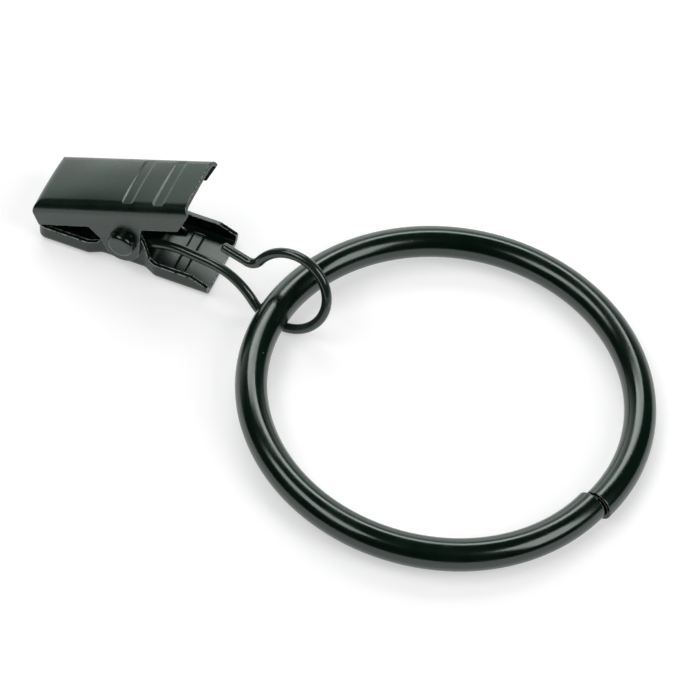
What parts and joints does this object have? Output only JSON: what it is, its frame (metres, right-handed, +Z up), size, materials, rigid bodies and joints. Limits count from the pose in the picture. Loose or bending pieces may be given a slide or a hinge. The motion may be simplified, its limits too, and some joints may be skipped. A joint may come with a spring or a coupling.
{
  "type": "curtain ring with clip",
  "caption": "Round tube ring that slides on a curtain rod, with a wire eyelet and a sprung pinch clip that grips the cloth.",
  "frame": {"origin": "centre of the ring", "axes": "+X along the clip towards the ring, +Y across it in the table's plane, +Z up from the table it lies on"},
  "size_m": [0.0966, 0.06, 0.0169],
  "materials": {
    "black_paint": "semi-gloss black",
    "spring_steel": "plain drawn wire"
  },
  "bodies": {
    "ring": {"ring": "black_paint"},
    "eyelet": {"eyelet": "black_paint"},
    "clip": {"lower_jaw": "black_paint", "pivot_pin": "black_paint", "torsion_spring": "spring_steel"},
    "upper_jaw": {"upper_jaw": "black_paint"}
  },
  "joints": [
    {"name": "eyelet_swing", "type": "hinge", "parent": "ring", "child": "eyelet", "pos_m": [-0.02727, 0.00481, 0.00086], "axis": [0.1736, 0.9848, -0.0055], "continuous": true},
    {"name": "clip_tilt", "type": "hinge", "parent": "eyelet", "child": "clip", "pos_m": [-0.05213, 0.0104, 0.00278], "axis": [0, 1, 0], "range_deg": [-14, 8]},
    {"name": "jaw_open", "type": "hinge", "parent": "clip", "child": "upper_jaw", "pos_m": [-0.05213, 0.0104, 0.00278], "axis": [0, 1, 0], "range_deg": [0, 26], "stiffness_Nm_per_rad": 0.06, "springref_deg": -45.84, "deforming": ["torsion_spring"]}
  ]
}
